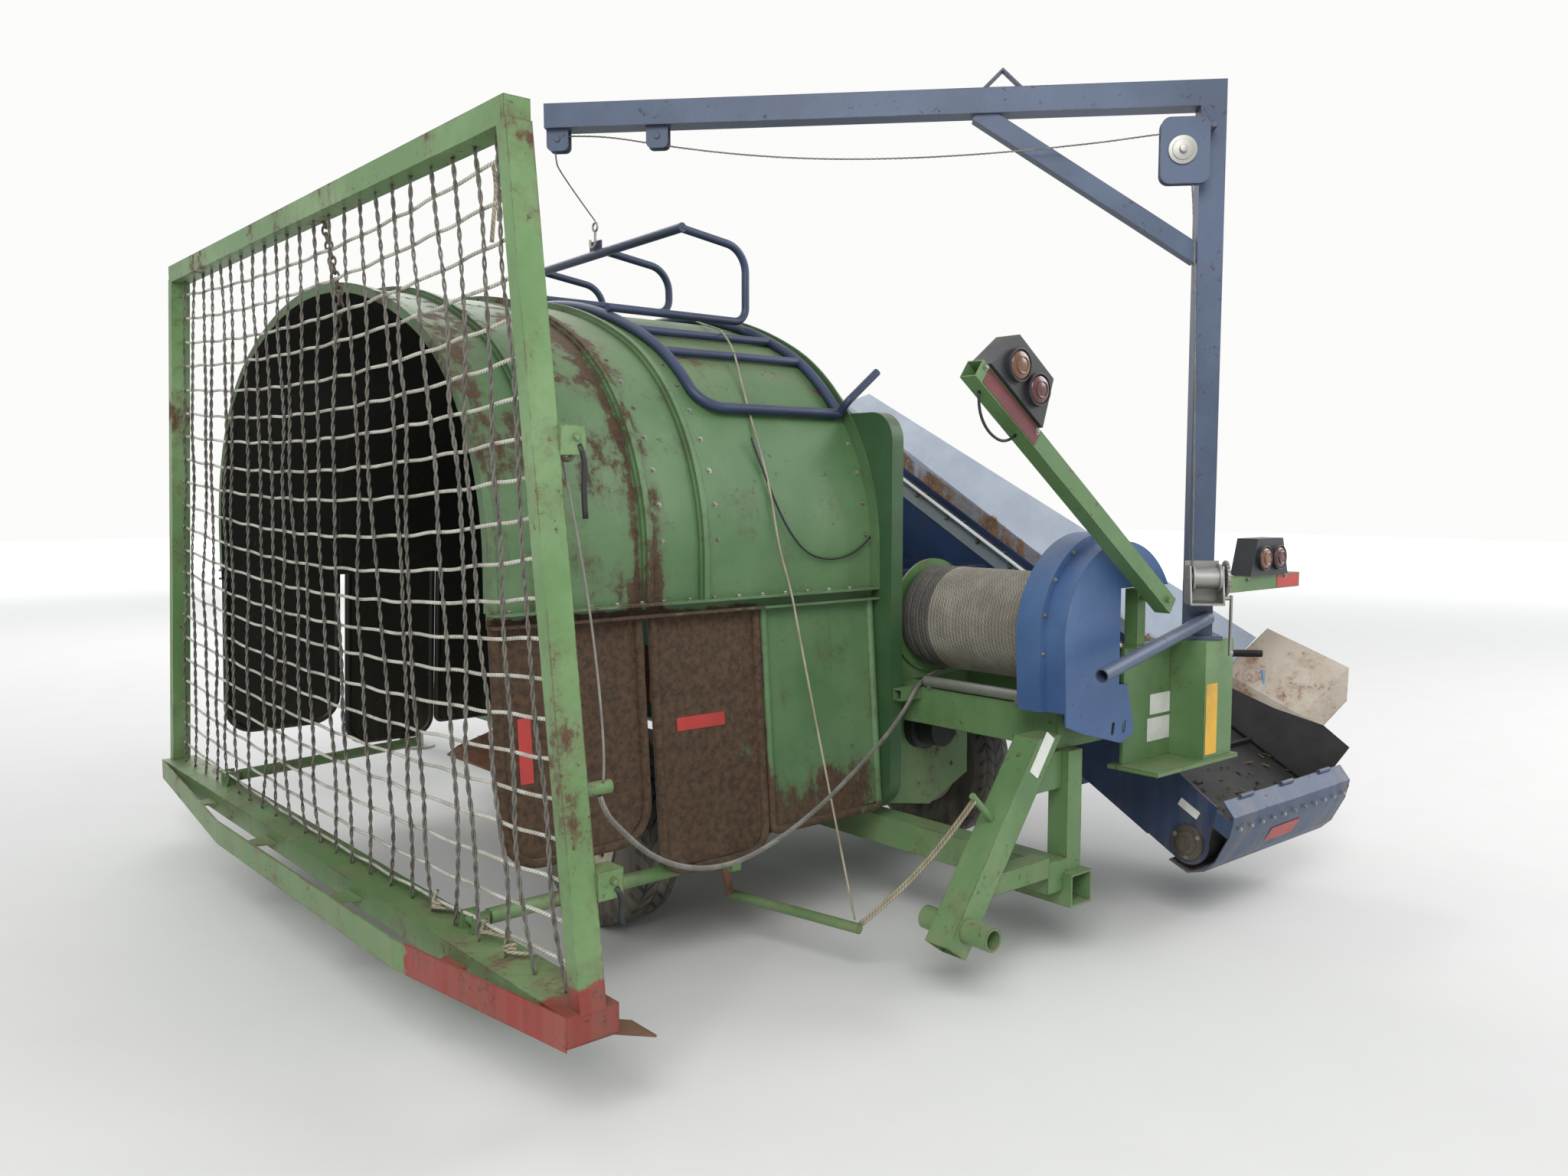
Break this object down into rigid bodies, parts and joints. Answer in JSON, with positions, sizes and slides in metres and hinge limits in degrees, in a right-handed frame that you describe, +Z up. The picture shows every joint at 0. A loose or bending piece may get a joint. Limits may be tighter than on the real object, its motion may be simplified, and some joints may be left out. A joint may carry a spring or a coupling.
{
  "type": "silage bagger",
  "caption": "Towed silage bagger with arched tunnel, toothed rotor, cable drums, crane, inclined feed conveyor and a roped backstop.",
  "frame": {"origin": "on the ground under the middle of the machine's box, without its free cords", "axes": "+Z up, +X from the backstop to the feed conveyor, +Y towards the tow bar"},
  "size_m": [3.9096, 5.8643, 3.176],
  "materials": {
    "frame_paint": "worn gloss paint",
    "tunnel_paint": "faded paint with rust",
    "wall_paint": "dark green paint",
    "guard_paint": "scratched blue paint",
    "crane_paint": "dull blue paint",
    "navy_paint": "dark blue paint",
    "bumper_paint": "worn green and red paint",
    "galvanised": "weathered zinc",
    "worn_sheet": "scoured sheet with crop stain",
    "rust": "brown rust",
    "bare_steel": "greasy steel",
    "wire_rope": "weathered wire rope",
    "motor_black": "oily black",
    "belt_rubber": "matt belt",
    "tyre": "dusty tyre",
    "rim_paint": "cream paint with dirt",
    "lamp_housing": "black housing",
    "net_rope": "grey twisted rope"
  },
  "bodies": {
    "frame": {"main_frame": "frame_paint", "lower_beam": "frame_paint", "receiver_tube": "frame_paint", "tunnel_rear": "tunnel_paint", "tunnel_front": "tunnel_paint", "front_wall": "wall_paint", "bag_pan": "rust", "rotor_housing": "frame_paint", "stripper_comb": "rust", "rotor_motor": "motor_black", "rotor_gearbox": "motor_black", "rotor_hopper": "guard_paint", "drum_roller": "bare_steel", "support_leg": "frame_paint", "axle": "frame_paint", "tow_bar": "frame_paint", "tow_jack": "bare_steel", "mast_socket": "frame_paint", "drum_cable": "wire_rope", "conveyor_frame": "navy_paint", "conveyor_belt": "belt_rubber", "tail_roller": "rust", "head_roller": "rust", "side_strip": "galvanised", "conveyor_wing": "galvanised", "tail_wing": "worn_sheet", "tail_cover": "navy_paint", "trough_skirt": "belt_rubber", "bag_cradle": "navy_paint", "backstop_frame": "frame_paint", "backstop_bumper": "bumper_paint", "backstop_net": "net_rope", "drum_brake_near": "motor_black", "drum_guard_near": "guard_paint", "backstop_arm_near": "frame_paint", "drum_brake_far": "motor_black", "drum_guard_far": "guard_paint", "backstop_arm_far": "frame_paint"},
    "wheel_rear": {"tyre_rear": "tyre", "wheel_rear": "rim_paint"},
    "wheel_front": {"tyre_front": "tyre", "wheel_front": "rim_paint"},
    "rotor": {"rotor": "rust"},
    "drum_near": {"drum_spool_near": "frame_paint", "drum_rope_near": "wire_rope"},
    "drum_far": {"drum_spool_far": "frame_paint", "drum_rope_far": "wire_rope"},
    "crane": {"crane_mast": "crane_paint", "crane_sheave": "bare_steel", "hand_winch": "bare_steel", "hoist_wire": "wire_rope", "hoist_hook": "bare_steel"},
    "lamp_left": {"lamp_arm_left": "frame_paint", "lamp_left": "lamp_housing"},
    "lamp_right": {"lamp_arm_right": "frame_paint", "lamp_right": "lamp_housing"}
  },
  "joints": [
    {"name": "wheel_rear_turn", "type": "hinge", "parent": "frame", "child": "wheel_rear", "pos_m": [-0.8445, -1.18776, 0.38], "axis": [1, 0, 0], "continuous": true},
    {"name": "wheel_front_turn", "type": "hinge", "parent": "frame", "child": "wheel_front", "pos_m": [1.0155, -1.18776, 0.38], "axis": [1, 0, 0], "continuous": true},
    {"name": "rotor_turn", "type": "hinge", "parent": "frame", "child": "rotor", "pos_m": [0.2955, -0.48776, 0.7], "axis": [0, 1, 0], "continuous": true},
    {"name": "drum_near_turn", "type": "hinge", "parent": "frame", "child": "drum_near", "pos_m": [0.3055, -2.13776, 1.15], "axis": [0, 1, 0], "continuous": true},
    {"name": "drum_far_turn", "type": "hinge", "parent": "frame", "child": "drum_far", "pos_m": [0.3055, 1.16224, 1.15], "axis": [0, 1, 0], "continuous": true},
    {"name": "crane_swing", "type": "hinge", "parent": "frame", "child": "crane", "pos_m": [0.7855, -2.68776, 1.1], "axis": [0, 0, 1], "range_deg": [0, 80]},
    {"name": "lamp_left_lift", "type": "hinge", "parent": "frame", "child": "lamp_left", "pos_m": [0.4355, -2.74976, 1.27], "axis": [0, 1, 0], "range_deg": [-20, 50]},
    {"name": "lamp_right_lift", "type": "hinge", "parent": "frame", "child": "lamp_right", "pos_m": [0.9655, -2.57276, 1.27], "axis": [0, -1, 0], "range_deg": [0, 80]}
  ]
}
